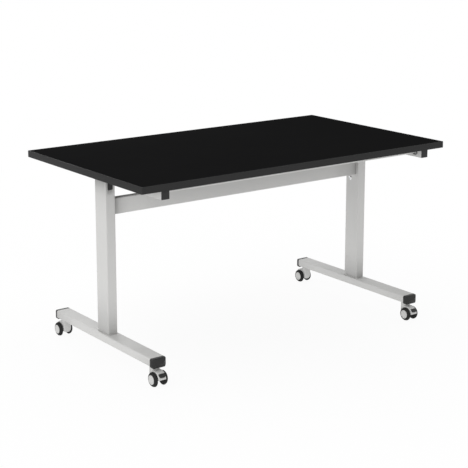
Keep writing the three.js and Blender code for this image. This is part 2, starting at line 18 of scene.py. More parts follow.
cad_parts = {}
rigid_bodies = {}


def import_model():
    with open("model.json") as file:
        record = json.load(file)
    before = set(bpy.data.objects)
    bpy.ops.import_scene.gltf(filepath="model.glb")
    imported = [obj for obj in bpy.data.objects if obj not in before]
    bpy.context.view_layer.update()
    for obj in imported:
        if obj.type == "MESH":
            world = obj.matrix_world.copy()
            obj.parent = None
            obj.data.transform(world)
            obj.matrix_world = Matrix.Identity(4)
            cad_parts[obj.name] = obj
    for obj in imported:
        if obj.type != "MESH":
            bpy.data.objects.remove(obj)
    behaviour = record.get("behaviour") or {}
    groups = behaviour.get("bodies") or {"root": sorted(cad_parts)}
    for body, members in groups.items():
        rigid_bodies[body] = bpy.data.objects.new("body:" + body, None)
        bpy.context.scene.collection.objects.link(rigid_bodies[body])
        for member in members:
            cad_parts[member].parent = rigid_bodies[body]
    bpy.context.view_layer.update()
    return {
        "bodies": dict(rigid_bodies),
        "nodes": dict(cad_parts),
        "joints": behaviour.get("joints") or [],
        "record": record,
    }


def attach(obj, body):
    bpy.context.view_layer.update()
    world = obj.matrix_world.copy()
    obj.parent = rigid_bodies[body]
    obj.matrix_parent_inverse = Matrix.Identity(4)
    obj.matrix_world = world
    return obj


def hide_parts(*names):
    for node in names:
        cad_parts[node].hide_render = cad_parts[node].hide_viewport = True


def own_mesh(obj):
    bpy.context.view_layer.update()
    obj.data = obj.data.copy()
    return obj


Array = np.ndarray
Colour = tuple[float, float, float]
Point = tuple[float, float, float]

LOG = logging.getLogger("training_table")
MM = 0.001
MERGE_DISTANCE = 2e-6


# Surfaces


class Along(Enum):
    """Axis that a section is carried along: where its u, its v and the way along it point."""

    X = ((0, 1, 0), (0, 0, 1), (1, 0, 0))
    Y = ((-1, 0, 0), (0, 0, 1), (0, 1, 0))
    Z = ((1, 0, 0), (0, 1, 0), (0, 0, 1))

    def place(self, local: Array, origin: Sequence[float] = (0, 0, 0)) -> Array:
        """Turn (u, v, w) points into world points: each part times its direction, added up.

        Args:
            local: points with u, v and w as the last axis.
            origin: world point that the local zero moves to.

        Returns:
            World points in the same layout.
        """
        return local @ np.array(self.value, float) + np.asarray(origin, float)


@dataclass(frozen=True)
class Patch:
    """Vertices and faces of a surface, which may be several closed shells."""

    points: Array
    faces: list[list[int]]

    def with_others(self, *others: "Patch") -> "Patch":
        """Gather several patches as one, with the later faces counted on.

        Args:
            others: patches to put after this one.

        Returns:
            One patch that holds them all.
        """
        points, faces = [self.points], list(self.faces)
        count = len(self.points)
        for other in others:
            faces += [[index + count for index in face] for face in other.faces]
            points.append(other.points)
            count += len(other.points)
        return Patch(np.concatenate(points), faces)

    def moved(self, offset: Sequence[float], half_turn: bool = False) -> "Patch":
        """Copy of the patch, turned half round Z if asked, then moved.

        Args:
            offset: move in metres.
            half_turn: whether x and y change sign first.

        Returns:
            The moved patch.
        """
        turn = np.array((-1, -1, 1) if half_turn else (1, 1, 1))
        return Patch(self.points * turn + np.asarray(offset, float), self.faces)


def grid(points: Array, ring: bool = True, loop: bool = False, caps: bool = False) -> Patch:
    """Quads over a lattice: each joins point (i, j) to its neighbours in the next column and row.

    Args:
        points: lattice of shape (rows, columns, 3).
        ring: whether the last column joins the first.
        loop: whether the last row joins the first.
        caps: whether the first and last rows are filled with one face each.

    Returns:
        The lattice as a patch.
    """
    rows, columns = points.shape[:2]
    index = np.arange(rows * columns).reshape(rows, columns)
    wide = np.concatenate([index, index[:, :1]], 1) if ring else index
    wide = np.concatenate([wide, wide[:1]], 0) if loop else wide
    quads = np.stack([wide[:-1, :-1], wide[:-1, 1:], wide[1:, 1:], wide[1:, :-1]], -1)
    faces = quads.reshape(-1, 4).tolist()
    if caps:
        faces += [index[0, ::-1].tolist(), index[-1].tolist()]
    return Patch(points.reshape(-1, 3), faces)


def arc(centre: Sequence[float], radius: float, start: float, end: float, steps: int) -> Array:
    """Points of a circle: centre plus radius times (cos, sin) of evenly spaced angles in degrees.

    Args:
        centre: (u, v) of the circle's centre.
        radius: radius in metres.
        start: first angle in degrees.
        end: last angle in degrees.
        steps: number of chords.

    Returns:
        Array of shape (steps + 1, 2).
    """
    angle = np.radians(np.linspace(start, end, steps + 1))
    return np.asarray(centre, float) + radius * np.stack([np.cos(angle), np.sin(angle)], -1)


def curve(first: Sequence[float], bend: Sequence[float], last: Sequence[float], steps: int) -> Array:
    """Parabola through two ends: (1-t)^2 first + 2t(1-t) bend + t^2 last.

    Args:
        first: start point.
        bend: control point that the ends' tangents meet in.
        last: end point.
        steps: number of chords.

    Returns:
        Array of shape (steps + 1, 2).
    """
    t = np.linspace(0, 1, steps + 1)[:, None]
    ends = [np.asarray(point, float) for point in (first, bend, last)]
    return (1 - t) ** 2 * ends[0] + 2 * t * (1 - t) * ends[1] + t**2 * ends[2]


def rounded_rect(width: float, height: float, top: float, bottom: float = -1.0, steps: int = 8) -> Array:
    """Outline of a rectangle whose corners are quarter circles, each centred one radius in.

    Args:
        width: size along u.
        height: size along v.
        top: radius of the two upper corners.
        bottom: radius of the two lower corners, or the upper one where it is negative.
        steps: chords to a corner.

    Returns:
        Anticlockwise outline of shape (4 * (steps + 1), 2).
    """
    low = top if bottom < 0 else bottom
    radius = np.array([top, top, low, low])[:, None]
    sign = np.array([(1, 1), (-1, 1), (-1, -1), (1, -1)])
    angle = np.linspace(0, np.pi / 2, steps + 1)[None, :] + np.arange(4)[:, None] * np.pi / 2
    u = sign[:, :1] * (width / 2 - radius) + radius * np.cos(angle)
    v = sign[:, 1:] * (height / 2 - radius) + radius * np.sin(angle)
    return np.stack([u, v], -1).reshape(-1, 2)


def carried(section: Array, stations: Sequence[float], along: Along, origin: Sequence[float]) -> Array:
    """Lattice of one section repeated at each station along an axis.

    Args:
        section: outline of shape (n, 2).
        stations: distances along the axis.
        along: axis that the section is carried along.
        origin: world point of the section's own zero.

    Returns:
        Lattice of shape (stations, n, 3).
    """
    where = np.asarray(stations, float)
    local = np.empty((len(where), len(section), 3))
    local[..., :2] = section
    local[..., 2] = where[:, None]
    return along.place(local, origin)


def plate(outline: Array, start: float, end: float, along: Along, origin: Sequence[float] = (0, 0, 0)) -> Patch:
    """Straight prism of an outline, closed at both ends."""
    return grid(carried(outline, (start, end), along, origin), caps=True)


def soft_plate(outline: Array, half: float, soften: float, steps: int = 5) -> Array:
    """Lattice of a plate across X: towards each side the outline draws in along its own normals.

    The drawing in is soften * (1 - sin t) while x comes within soften * (1 - cos t) of the side.

    Args:
        outline: anticlockwise (y, z) outline.
        half: half of the plate's thickness.
        soften: radius of the rounded side edges.
        steps: rings in each rounding.

    Returns:
        Lattice of shape (rings, points, 3).
    """
    ahead = np.roll(outline, -1, 0) - np.roll(outline, 1, 0)
    normal = np.stack([ahead[:, 1], -ahead[:, 0]], -1) / np.linalg.norm(ahead, axis=1, keepdims=True)
    turn = np.linspace(0, np.pi / 2, steps)
    inset = np.concatenate([[1.1], 1 - np.sin(turn)]) * soften
    place = half - np.concatenate([[0], 1 - np.cos(turn)]) * soften
    draws = np.concatenate([inset, inset[::-1]])[:, None, None]
    x = np.concatenate([-place, place[::-1]])[:, None, None]
    rings = outline - draws * normal
    return np.concatenate([np.broadcast_to(x, (*rings.shape[:2], 1)), rings], -1)


def soft_block(
    width: float, height: float, corner: float, span: tuple[float, float], soften: float,
    along: Along, origin: Sequence[float], foot: float = -1.0,
) -> Patch:
    """Rounded bar with rounded ends: near an end the outline draws in by soften * (1 - sin t).

    Args:
        width: section size along u.
        height: section size along v.
        corner: radius of the section's corners.
        span: where it starts and ends along its axis.
        soften: radius of the rounded ends.
        along: axis of the bar.
        origin: world point of the section's middle.
        foot: radius of the lower corners where it differs.

    Returns:
        The closed bar.
    """
    turn = np.linspace(0, np.pi / 2, 5)
    inset = soften * (1 - np.sin(turn))
    reach = soften * (1 - np.cos(turn))
    low = corner if foot < 0 else foot
    draws = np.concatenate([inset, inset[::-1]])
    stations = np.concatenate([span[0] + reach, span[1] - reach[::-1]])
    rings = [
        rounded_rect(width - 2 * d, height - 2 * d, max(corner - d, soften / 4), max(low - d, soften / 4))
        for d in draws
    ]
    local = np.concatenate([np.stack(rings), np.repeat(stations[:, None, None], len(rings[0]), 1)], -1)
    return grid(along.place(local, origin), caps=True)


def turned(profile: Array, along: Along, origin: Sequence[float], sides: int = 48, loop: bool = False) -> Patch:
    """Surface of revolution: (radius, w) becomes (radius cos a, radius sin a, w) for each angle a.

    Args:
        profile: rows of radius and distance along the axis.
        along: axis of the turning.
        origin: world point of the axis' zero.
        sides: facets round the axis.
        loop: whether the profile closes on itself and stays off the axis.

    Returns:
        The turned patch.
    """
    angle = np.arange(sides) * 2 * np.pi / sides
    radius, w = profile[:, :1], profile[:, 1:]
    local = np.stack([radius * np.cos(angle), radius * np.sin(angle), np.broadcast_to(w, (len(w), sides))], -1)
    return grid(along.place(local, origin), loop=loop)


def mesh_from(name: str, patch: Patch, closed: bool = True) -> bpy.types.Mesh:
    """Mesh of a patch with its poles and seams merged and, on closed shells, its faces turned out.

    Args:
        name: name of the mesh.
        patch: the surface.
        closed: whether every shell encloses a volume.

    Returns:
        The new mesh.
    """
    mesh = bpy.data.meshes.new(name)
    mesh.from_pydata(patch.points.tolist(), [], patch.faces)
    work = bmesh.new()
    work.from_mesh(mesh)
    bmesh.ops.remove_doubles(work, verts=work.verts, dist=MERGE_DISTANCE)
    if closed:
        bmesh.ops.recalc_face_normals(work, faces=work.faces)
    work.to_mesh(mesh)
    work.free()
    mesh.validate()
    return mesh


def worked(patch: Patch, bevel: float = 0.0, add: Iterable[Patch] = (), remove: Iterable[Patch] = ()) -> Patch:
    """Patch with its sharp edges rounded, then joined with other closed patches and cut by others.

    Args:
        patch: closed patch to start from.
        bevel: width of the rounding, or nothing where it is zero.
        add: closed patches that are joined to it.
        remove: closed patches that are cut from it.

    Returns:
        The finished surface.
    """
    made = []

    def temporary(part: Patch) -> bpy.types.Object:
        """Link a working object for a patch."""
        item = bpy.data.objects.new("working", mesh_from("working", part))
        bpy.context.scene.collection.objects.link(item)
        made.append(item)
        return item

    body = temporary(patch)
    if bevel > 0:
        rounding = body.modifiers.new("rounding", "BEVEL")
        rounding.width, rounding.segments, rounding.limit_method = bevel, 3, "ANGLE"
        rounding.angle_limit = np.radians(40)
    for operation, parts in (("UNION", add), ("DIFFERENCE", remove)):
        for part in parts:
            step = body.modifiers.new(operation.lower(), "BOOLEAN")
            step.operation, step.solver, step.object = operation, "EXACT", temporary(part)
    bpy.context.view_layer.update()
    graph = bpy.context.evaluated_depsgraph_get()
    result = bpy.data.meshes.new_from_object(body.evaluated_get(graph))
    points = np.empty(len(result.vertices) * 3)
    result.vertices.foreach_get("co", points)
    faces = [list(polygon.vertices) for polygon in result.polygons]
    bpy.data.meshes.remove(result)
    for item in made:
        bpy.data.objects.remove(item)
    return Patch(points.reshape(-1, 3), faces)


# Materials


class Term:
    """A number in a material: arithmetic on it adds Math nodes to the node tree."""

    def __init__(self, tree: bpy.types.NodeTree, socket: bpy.types.NodeSocket) -> None:
        """Keep the tree and the output socket that holds the number."""
        self.tree = tree
        self.socket = socket

    def _math(self, operation: str, first: Any, second: Any) -> "Term":
        """Add one Math node.

        Args:
            operation: Math node's operation.
            first: number or term on its first socket.
            second: number or term on its second socket.

        Returns:
            The node's result.
        """
        node = self.tree.nodes.new("ShaderNodeMath")
        node.operation = operation
        for socket, value in zip(node.inputs, (first, second)):
            if isinstance(value, Term):
                self.tree.links.new(value.socket, socket)
            else:
                socket.default_value = float(value)
        return Term(self.tree, node.outputs[0])

    def __add__(self, other: Any) -> "Term":
        """This plus other."""
        return self._math("ADD", self, other)

    __radd__ = __add__

    def __sub__(self, other: Any) -> "Term":
        """This minus other."""
        return self._math("SUBTRACT", self, other)

    def __rsub__(self, other: Any) -> "Term":
        """Other minus this."""
        return self._math("SUBTRACT", other, self)

    def __mul__(self, other: Any) -> "Term":
        """This times other."""
        return self._math("MULTIPLY", self, other)

    __rmul__ = __mul__

    def __pow__(self, other: Any) -> "Term":
        """This to the power of other."""
        return self._math("POWER", self, other)

    def __rpow__(self, other: Any) -> "Term":
        """Other to the power of this."""
        return self._math("POWER", other, self)

    def __or__(self, other: Any) -> "Term":
        """The larger of this and other."""
        return self._math("MAXIMUM", self, other)


Input = Union[float, Sequence[float], Term, bpy.types.NodeSocket]


class NodeBook:
    """Node tree of a material or world, filled through one method."""

    def __init__(self, owner: Union[bpy.types.Material, bpy.types.World]) -> None:
        """Empty the owner's node tree.

        Args:
            owner: material or world that uses nodes.
        """
        owner.use_nodes = True
        self.tree = owner.node_tree
        self.tree.nodes.clear()

    def node(self, kind: str, settings: dict[str, Any] = {}, **inputs: Input) -> bpy.types.Node:
        """Add a node, set it up, then fill or link its sockets.

        Args:
            kind: node type without its ShaderNode prefix.
            settings: attributes of the node, set first.
            inputs: socket names, with _ for a space, and their values or links.

        Returns:
            The new node.
        """
        made = self.tree.nodes.new("ShaderNode" + kind)
        for name, value in settings.items():
            setattr(made, name, value)
        for name, value in inputs.items():
            socket = made.inputs[name.replace("_", " ")]
            if isinstance(value, Term):
                self.tree.links.new(value.socket, socket)
            elif isinstance(value, bpy.types.NodeSocket):
                self.tree.links.new(value, socket)
            else:
                socket.default_value = value
        return made

    def term(self, node: bpy.types.Node, output: str) -> Term:
        """Output socket of a node as a number."""
        return Term(self.tree, node.outputs[output])

    def noise(self, where: bpy.types.NodeSocket, scale: float, detail: float = 2.0) -> Term:
        """Noise from 0 to 1 at a scale in cycles per metre.

        Args:
            where: coordinates to read.
            scale: cycles per metre.
            detail: octaves of finer noise.

        Returns:
            The noise value.
        """
        made = self.node("TexNoise", Vector=where, Scale=scale, Detail=detail, Roughness=0.55)
        return self.term(made, "Fac")

    def blend(self, amount: Term, first: Colour, second: Colour) -> bpy.types.NodeSocket:
        """Mix two colours by a number."""
        mix = self.tree.nodes.new("ShaderNodeMix")
        mix.data_type = "RGBA"
        self.tree.links.new(amount.socket, mix.inputs[0])
        mix.inputs[6].default_value = (*first, 1)
        mix.inputs[7].default_value = (*second, 1)
        return mix.outputs[2]


class Grain(Enum):
    """Fine relief of a surface: cycles per metre, depth in metres and stretch along X, Y and Z."""

    LAMINATE = (1500.0, 0.00004, (1, 1, 1))
    POWDER = (620.0, 0.00006, (1, 1, 1))
    MOULDED = (1100.0, 0.00005, (1, 1, 1))
    TREAD = (800.0, 0.00008, (0.4, 1, 1))
    PLATED = (900.0, 0.00002, (1, 0.1, 1))

    @property
    def scale(self) -> float:
        """Cycles per metre."""
        return self.value[0]

    @property
    def depth(self) -> float:
        """Height of the relief in metres."""
        return self.value[1]

    @property
    def stretch(self) -> Point:
        """Factor on the coordinates along each axis."""
        return self.value[2]


@dataclass(frozen=True)
class Finish:
    """A surface finish: its colour, how much that varies, its gloss, its grain and its painted sparkle."""

    slot: str
    colour: Colour
    roughness: float
    grain: Grain
    variation: float = 0.06
    metallic: float = 0.0
    specular: float = 0.5
    # share of bright specks painted into the colour as sparkle, painted glints
    painted_sparkle: float = 0.0

    def material(self) -> bpy.types.Material:
        """Procedural material: broad cloudiness in colour and gloss, bright specks painted into the colour as sparkle,
        grain as bump.

        Returns:
            The new material.
        """
        made = bpy.data.materials.new(self.slot)
        book = NodeBook(made)
        place = book.node("TexCoord").outputs["Object"]
        fine = book.node("Mapping", Vector=place, Scale=self.grain.stretch).outputs["Vector"]
        cloud = book.noise(place, 9.0, 3.0)
        grain = book.noise(fine, self.grain.scale, 3.0)
        # painted glints: rare bright specks in the base colour stand in for the sparkle of the coat
        painted_sparkle_spots = book.noise(place, 3200.0, 1.0) ** 6 * self.painted_sparkle
        tone = cloud * 0.6 + grain * 0.4 + painted_sparkle_spots
        dark, light = (tuple(c * (1 + s * self.variation) for c in self.colour) for s in (-1, 1))
        gloss = self.roughness + (cloud - 0.5) * 0.08 + (grain - 0.5) * 0.06
        bump = book.node("Bump", Strength=0.35, Distance=self.grain.depth, Height=grain)
        shader = book.node(
            "BsdfPrincipled", Base_Color=book.blend(tone, dark, light), Roughness=gloss,
            Metallic=self.metallic, Specular_IOR_Level=self.specular, Normal=bump.outputs["Normal"],
        )
        book.node("OutputMaterial", Surface=shader.outputs["BSDF"])
        return made


FINISHES = (
    Finish("black_laminate", (0.0098, 0.0098, 0.0100), 0.62, Grain.LAMINATE, 0.10, specular=0.0),
    Finish("black_edging", (0.029, 0.029, 0.029), 0.50, Grain.MOULDED, 0.05, specular=0.06),
    Finish("silver_powder_coat", (0.59, 0.588, 0.578), 0.46, Grain.POWDER, 0.035, specular=0.35, painted_sparkle=0.5),
    Finish("black_plastic", (0.022, 0.022, 0.022), 0.44, Grain.MOULDED, 0.08, specular=0.22),
    Finish("grey_plastic", (0.56, 0.56, 0.55), 0.36, Grain.MOULDED, 0.03, specular=0.45),
    Finish("tread_rubber", (0.017, 0.017, 0.017), 0.66, Grain.TREAD, 0.10, specular=0.15),
    Finish("zinc_steel", (0.76, 0.77, 0.78), 0.24, Grain.PLATED, 0.06, metallic=1.0),
)


# Pieces


@dataclass
class Workshop:
    """Turns patches into finished pieces that ride on the frame."""

    frame: dict[str, Any]
    materials: dict[str, bpy.types.Material] = field(default_factory=dict)

    def prepare(self, finishes: Iterable[Finish]) -> None:
        """Make each finish's material and put it on the CAD nodes of its slot.

        Args:
            finishes: every finish of the table.
        """
        self.materials = {finish.slot: finish.material() for finish in finishes}
        for part in self.frame["record"]["subparts"]:
            item = self.frame["nodes"][part["node"]]
            for holder in item.material_slots:
                holder.material = self.materials[part["material_slot"]]

    def piece(
        self, name: str, patch: Patch, body: str, slot: str, stands_for: Sequence[str] = (),
        wall: float = 0.0, sharp: float = 35.0,
    ) -> bpy.types.Object:
        """Make a piece, dress it and let it ride on a body.

        Args:
            name: name of the object.
            patch: its surface, closed unless it gets a wall.
            body: CAD body that carries it.
            slot: material slot of its finish.
            stands_for: CAD nodes that it replaces.
            wall: thickness that an open sheet gains inwards.
            sharp: edges over this angle in degrees stay sharp.

        Returns:
            The finished object.
        """
        mesh = mesh_from(name, patch, closed=wall == 0)
        mesh.shade_smooth()
        mesh.set_sharp_from_angle(angle=np.radians(sharp))
        mesh.materials.append(self.materials[slot])
        item = bpy.data.objects.new(name, mesh)
        bpy.context.scene.collection.objects.link(item)
        if wall > 0:
            shell = item.modifiers.new("wall", "SOLIDIFY")
            shell.thickness, shell.offset = wall, -1
        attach(item, body)
        if stands_for:
            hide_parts(*stands_for)
        LOG.info("%s rides on %s", name, body)
        return item


def button_head(radius: float, height: float) -> Array:
    """Profile of a screw head: a quarter-ellipse dome with a round socket in its middle.

    Args:
        radius: radius of the head.
        height: height of the dome.

    Returns:
        Rows of radius and height, from the socket's floor to the seat.
    """
    t = np.linspace(0.45, np.pi / 2, 9)
    dome = np.stack([radius * np.sin(t), height * np.cos(t)], -1)
    socket = np.array([(0, 0.4 * height), (0.36 * radius, 0.4 * height), (0.38 * radius, 0.88 * height)])
    return np.concatenate([socket, dome, [(0.0, 0.0)]])


@dataclass
class Board:
    """Laminate board's edging. The board itself is the CAD block with its laminate finish."""

    length: float = 1.400
    depth: float = 0.800
    bottom: float = 0.705
    thickness: float = 0.025
    band: float = 0.002
    soften: float = 0.0012
    corner: float = 0.003

    def edging(self) -> Patch:
        """Closed band round the board: its section's outer corners are quarter circles.

        Returns:
            The band, a loop of sections each drawn in from the board's outline.
        """
        turn = np.linspace(0, np.pi / 2, 6)
        inset = self.soften * (1 - np.sin(turn))
        rise = self.soften * (1 - np.cos(turn))
        draws = np.concatenate([[self.band], inset, inset[::-1], [self.band]])
        heights = np.concatenate([[0], rise, self.thickness - rise[::-1], [self.thickness]])
        rings = [
            rounded_rect(self.length - 2 * d, self.depth - 2 * d, max(self.corner - d, 1e-4), steps=6)
            for d in draws
        ]
        local = np.concatenate([np.stack(rings), np.repeat(heights[:, None, None], len(rings[0]), 1)], -1)
        return grid(Along.Z.place(local, (0, 0, self.bottom)), loop=True)

    def build(self, shop: Workshop) -> None:
        """Make the edging."""
        shop.piece("edging", self.edging(), "top", "black_edging", ["edge_band"], sharp=50)


@dataclass
class Leg:
    """T leg: column with a forked head, foot with domed end caps, hinge pin and visible fasteners."""

    name: str
    side: int
    x: float = 0.604
    column: Point = (0.040, 0.075, 0.004)
    wall: float = 0.002
    cheek_top: float = 0.696
    cheek_round: float = 0.012
    front_top: float = 0.674
    back_top: float = 0.634
    notch: Point = (0.0216, 0.643, 0.0025)
    foot: Point = (0.060, 0.030, 0.006)
    foot_top: float = 0.103
    foot_half: float = 0.329
    cap_reach: float = 0.025
    cap_lip: float = 0.005
    cap_lip_radius: float = 0.009
    cap_soften: float = 0.004
    cap_bulge: tuple[float, float] = (0.013, 0.0008)
    pivot: tuple[float, float] = (0.020, 0.652)

    @property
    def origin(self) -> Point:
        """Floor point under the column."""
        return (self.side * self.x, 0.0, 0.0)

    def column_outline(self) -> Array:
        """Rounded outline of the column with extra points where the head's cuts begin and end.

        Returns:
            Anticlockwise outline, starting at the middle of the front wall.
        """
        width, depth, radius = self.column
        cheek = width / 2 - self.wall
        half_notch, _, notch_radius = self.notch[0] / 2, self.notch[1], self.notch[2]
        step = 5e-6
        bow = half_notch - notch_radius * (1 - np.sin(np.linspace(0, np.pi / 2, 6)))
        front = np.concatenate([[0, half_notch - 2 * notch_radius], bow - step, [half_notch + step, cheek - 0.003]])
        turn = np.degrees(np.arcsin((cheek - width / 2 + radius) / radius))
        corner_angles = np.sort(np.concatenate([np.linspace(0, 90, 9), [turn - 0.1, turn + 0.1]]))
        angle = np.radians(corner_angles)
        inner = np.array([width / 2 - radius, depth / 2 - radius])
        corner = inner + radius * np.stack([np.sin(angle), np.cos(angle)], -1)
        ease = np.linspace(0, 1, 9)[1:] ** 0.6 * (self.cheek_round - radius)
        side = np.concatenate([[0], depth / 2 - self.cheek_round + ease * 0.999])
        quarter = np.concatenate([
            np.stack([front, np.full_like(front, depth / 2)], -1),
            corner,
            np.stack([np.full(len(side) - 1, width / 2), side[::-1][1:]], -1),
        ])
        loop = [quarter * (1, -1), quarter[-2::-1], quarter[1:] * (-1, 1), (quarter * (-1, -1))[-2:0:-1]]
        return np.concatenate(loop)

    def column_top(self, outline: Array) -> Array:
        """Height of the head over each point of the outline.

        The cheeks end in rounded corners, the front wall is lower and has a notch with rounded
        lower corners, and the back wall is cut down for the hinge arm.

        Args:
            outline: points of the column's outline.

        Returns:
            One height for each point.
        """
        x, y = np.abs(outline[:, 0]), outline[:, 1]
        width, depth, radius = self.column
        past = np.clip(np.abs(y) - (depth / 2 - self.cheek_round), 0, self.cheek_round)
        cheek = self.cheek_top - self.cheek_round + np.sqrt(self.cheek_round**2 - past**2)
        half_notch, low, notch_radius = self.notch[0] / 2, self.notch[1], self.notch[2]
        near = np.clip(x - (half_notch - notch_radius), 0, notch_radius)
        notch = low + notch_radius - np.sqrt(notch_radius**2 - near**2)
        front = np.where(x < half_notch, notch, self.front_top)
        walls = np.where(y < 0, front, self.back_top)
        across = (x < width / 2 - self.wall) & (np.abs(y) > depth / 2 - radius)
        return np.where(across, walls, cheek)

    def column_sheet(self) -> Patch:
        """Column as a sheet over its outline: height = bottom + t * (top of the head - bottom)."""
        outline = self.column_outline()
        top = self.column_top(outline)
        levels = [np.full(len(outline), z) for z in (self.foot_top, 0.3, 0.5, 0.62)]
        height = np.stack([*levels, top])
        flat = np.broadcast_to(outline, (len(height), *outline.shape))
        return grid(np.concatenate([flat, height[..., None]], -1) + np.array(self.origin))

    def foot_sheet(self) -> Patch:
        """Foot tube as an open sheet: its rounded outline carried along Y."""
        width, height, radius = self.foot
        centre = (self.side * self.x, 0, self.foot_top - height / 2)
        stations = np.linspace(-self.foot_half, self.foot_half, 5)
        return grid(carried(rounded_rect(width, height, radius), stations, Along.Y, centre))

    def foot_cap(self, end: int) -> Patch:
        """Domed cap: its outline draws in towards the face, whose reach falls off with x^2 and z^2.

        Args:
            end: +1 at the rear and -1 at the front.

        Returns:
            The closed cap with its plug.
        """
        width, tube, radius = self.foot
        height = tube + self.cap_lip
        turn = np.linspace(0, np.pi / 2, 7)
        rim = self.cap_soften * (1 - np.cos(turn))
        rest = np.linspace(self.cap_soften, height / 2 - 1e-4, 6)[1:]
        draws = np.concatenate([[0], rim, rest])
        reach = self.cap_reach - self.cap_soften + self.cap_soften * np.sin(turn)
        depths = np.concatenate([[0], reach, np.full(len(rest), self.cap_reach)])
        rings = np.stack([
            rounded_rect(width - 2 * d, height - 2 * d, max(radius - d, 2e-4), max(self.cap_lip_radius - d, 2e-4))
            for d in draws
        ])
        bow, dome = self.cap_bulge
        fall = bow * (rings[..., 0] / width * 2) ** 2 + dome * (rings[..., 1] / height * 2) ** 2
        along = np.maximum(depths[:, None] - np.where(depths[:, None] > 0, fall, 0), 0)
        local = np.concatenate([rings, (self.foot_half + along)[..., None]], -1)
        middle = (0, 0, self.foot_top - height / 2)
        face = grid(Along.Y.place(local, middle), caps=True)
        gap = 2 * (self.wall + 0.0003)
        plug = soft_block(
            width - gap, tube - gap, radius - gap / 2, (self.foot_half - 0.008, self.foot_half + 0.0005), 5e-4,
            Along.Y, (0, 0, self.foot_top - tube / 2),
        )
        return face.with_others(plug).moved(self.origin, half_turn=end < 0)

    def hinge_pin(self) -> Patch:
        """Turned pin with a low domed head against the inner cheek."""
        face = self.column[0] / 2
        tip = face - self.wall - 0.0003
        t = np.linspace(0, np.pi / 2, 8)
        dome = np.stack([0.009 * np.cos(t), face + 0.0012 + 0.0028 * np.sin(t)], -1)
        shank = np.array([(0, -tip), (0.0052, -tip), (0.006, -tip + 0.0008), (0.006, face), (0.009, face)])
        profile = np.concatenate([shank, dome]) * (1, -self.side)
        return turned(profile, Along.X, (self.side * self.x, *self.pivot), 36)

    def fasteners(self) -> list[tuple[str, Patch, str]]:
        """Screw heads: one on the column's inner face, two in the hinge arm's foot, four in the rail.

        Returns:
            Name, patch and body of each.
        """
        x, inward = self.side * self.x, -self.side
        bolt = button_head(0.0085, 0.0040) * (1, inward)
        made = [("beam_bolt", turned(bolt, Along.X, (x + inward * self.column[0] / 2, 0.010, 0.527), 32), "frame")]
        small = button_head(0.0042, 0.0022) * (1, -1)
        for number, y in enumerate((-0.006, 0.046), 1):
            made.append((f"arm_screw_{number}", turned(small, Along.Z, (x, y, 0.697), 20), "top"))
        for number, y in enumerate((-0.300, -0.120, 0.130, 0.330), 1):
            made.append((f"rail_screw_{number}", turned(small, Along.Z, (x, y, 0.703), 20), "top"))
        return made

    def build(self, shop: Workshop) -> None:
        """Make the leg's pieces."""
        n = self.name
        silver, black = "silver_powder_coat", "black_plastic"
        shop.piece(f"{n}_upright", self.column_sheet(), "frame", silver, [f"{n}_column"], self.wall)
        shop.piece(f"{n}_floor_foot", self.foot_sheet(), "frame", silver, [f"{n}_foot"], self.wall)
        for end, place in ((-1, "front"), (1, "rear")):
            node = f"{n}_foot_{place}_cap"
            shop.piece(f"{n}_{place}_toe", self.foot_cap(end), "frame", black, [node])
        shop.piece(f"{n}_pivot_pin", self.hinge_pin(), "frame", "zinc_steel", [f"{n}_hinge_pin"])
        for kind, patch, body in self.fasteners():
            shop.piece(f"{n}_{kind}", patch, body, "zinc_steel")


